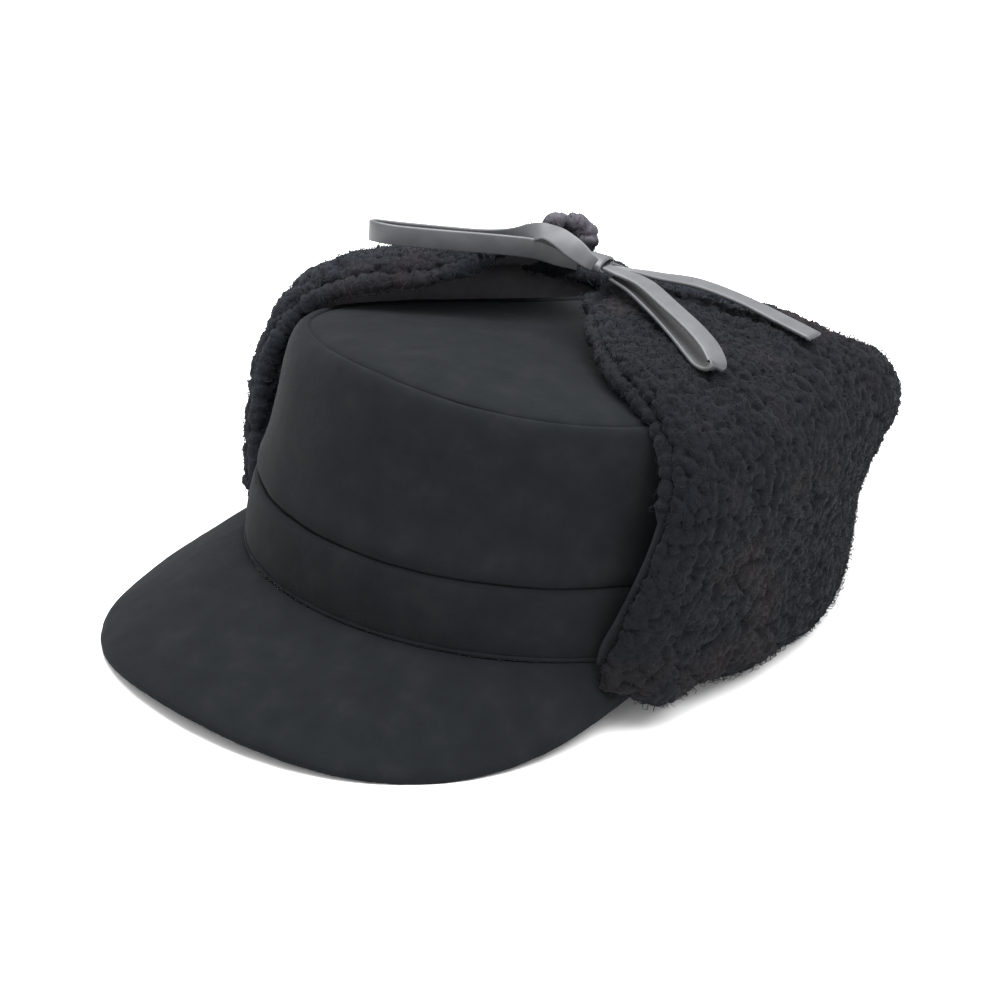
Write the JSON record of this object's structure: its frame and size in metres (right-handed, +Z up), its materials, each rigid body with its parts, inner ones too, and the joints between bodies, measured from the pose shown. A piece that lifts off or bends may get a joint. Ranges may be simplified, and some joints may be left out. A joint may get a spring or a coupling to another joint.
{
  "type": "earflap cap",
  "caption": "Wool cap with a stiff peak, a plain band and fleece-faced earflaps folded up round the back and tied over the crown with a leather lace.",
  "frame": {"origin": "middle of the cap's bounding box, on the surface that the cap rests on", "axes": "+Z up, -Y towards the peak, +X towards the wearer's left"},
  "size_m": [0.1966, 0.2758, 0.1224],
  "materials": {
    "wool": "matte felted wool",
    "fleece": "deep curly fleece",
    "lace": "semi-gloss leather"
  },
  "bodies": {
    "root": {"band": "wool", "crown_side": "wool", "crown_top": "wool", "peak": "wool", "flap_shell": "wool", "flap_fleece": "fleece", "lace_knot": "lace", "lace_loop_front": "lace", "lace_loop_side": "lace", "lace_tail_long": "lace", "lace_tail_short": "lace"}
  },
  "joints": []
}
